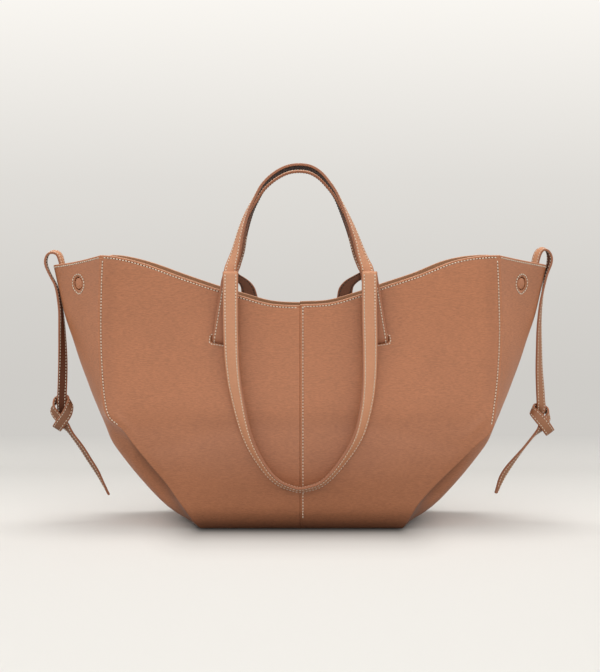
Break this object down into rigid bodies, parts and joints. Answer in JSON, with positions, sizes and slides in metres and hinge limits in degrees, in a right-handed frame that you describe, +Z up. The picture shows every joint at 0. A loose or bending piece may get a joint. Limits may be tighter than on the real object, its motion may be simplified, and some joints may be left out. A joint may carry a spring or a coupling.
{
  "type": "tote bag",
  "caption": "Winged leather tote bag with short handles, long shoulder straps, knotted side ties and magnets set in the wings.",
  "frame": {"origin": "middle of the base's underside, on the floor", "axes": "+X to the bag's right wing as seen from the front, +Y to the back, +Z up through the mouth"},
  "size_m": [0.5459, 0.1924, 0.3803],
  "materials": {
    "body_leather": "fine-grained tan leather, satin",
    "strap_leather": "fine-grained tan leather, satin, with painted edges",
    "inner_leather": "bare flesh side, matte",
    "board": "matte board",
    "tape": "woven tape",
    "magnet": "plated"
  },
  "bodies": {
    "bag": {"front_left_panel": "body_leather", "front_right_panel": "body_leather", "back_left_panel": "body_leather", "back_right_panel": "body_leather", "left_gusset": "body_leather", "right_gusset": "body_leather", "base_panel": "body_leather", "base_board": "board", "front_seam_tape": "tape", "back_seam_tape": "tape", "front_left_handle_root": "strap_leather", "front_right_handle_root": "strap_leather", "back_left_handle_root": "strap_leather", "back_right_handle_root": "strap_leather", "front_left_strap_root": "strap_leather", "front_right_strap_root": "strap_leather", "back_left_strap_root": "strap_leather", "back_right_strap_root": "strap_leather", "front_left_anchor_patch": "inner_leather", "front_right_anchor_patch": "inner_leather", "back_left_anchor_patch": "inner_leather", "back_right_anchor_patch": "inner_leather", "left_front_magnet": "magnet", "left_back_magnet": "magnet", "right_front_magnet": "magnet", "right_back_magnet": "magnet", "left_front_magnet_cap": "strap_leather", "left_back_magnet_cap": "strap_leather", "right_front_magnet_cap": "strap_leather", "right_back_magnet_cap": "strap_leather", "left_front_magnet_patch": "inner_leather", "left_back_magnet_patch": "inner_leather", "right_front_magnet_patch": "inner_leather", "right_back_magnet_patch": "inner_leather", "left_tie_anchor": "inner_leather", "right_tie_anchor": "inner_leather", "left_tie_root": "strap_leather", "right_tie_root": "strap_leather"},
    "front_handle": {"front_handle": "strap_leather"},
    "back_handle": {"back_handle": "strap_leather"},
    "front_long_strap": {"front_long_strap": "strap_leather"},
    "back_long_strap": {"back_long_strap": "strap_leather"},
    "left_tie": {"left_tie_drop": "strap_leather", "left_tie_knot": "strap_leather", "left_tie_tail": "strap_leather"},
    "right_tie": {"right_tie_drop": "strap_leather", "right_tie_knot": "strap_leather", "right_tie_tail": "strap_leather"}
  },
  "joints": [
    {"name": "front_handle_tilt", "type": "hinge", "parent": "bag", "child": "front_handle", "pos_m": [0, -0.0618, 0.272], "axis": [-1, 0, 0], "range_deg": [-75, 15]},
    {"name": "back_handle_tilt", "type": "hinge", "parent": "bag", "child": "back_handle", "pos_m": [0, 0.0618, 0.272], "axis": [1, 0, 0], "range_deg": [-75, 15]},
    {"name": "front_long_strap_lift", "type": "hinge", "parent": "bag", "child": "front_long_strap", "pos_m": [0, -0.06675, 0.2655], "axis": [-1, 0, 0], "range_deg": [0, 165]},
    {"name": "back_long_strap_lift", "type": "hinge", "parent": "bag", "child": "back_long_strap", "pos_m": [0, 0.06675, 0.2655], "axis": [1, 0, 0], "range_deg": [0, 165]},
    {"name": "left_tie_swing", "type": "hinge", "parent": "bag", "child": "left_tie", "pos_m": [-0.26426, 0, 0.28825], "axis": [0, 1, 0], "range_deg": [0, 70]},
    {"name": "right_tie_swing", "type": "hinge", "parent": "bag", "child": "right_tie", "pos_m": [0.2603, 0, 0.29126], "axis": [0, -1, 0], "range_deg": [0, 70]}
  ]
}
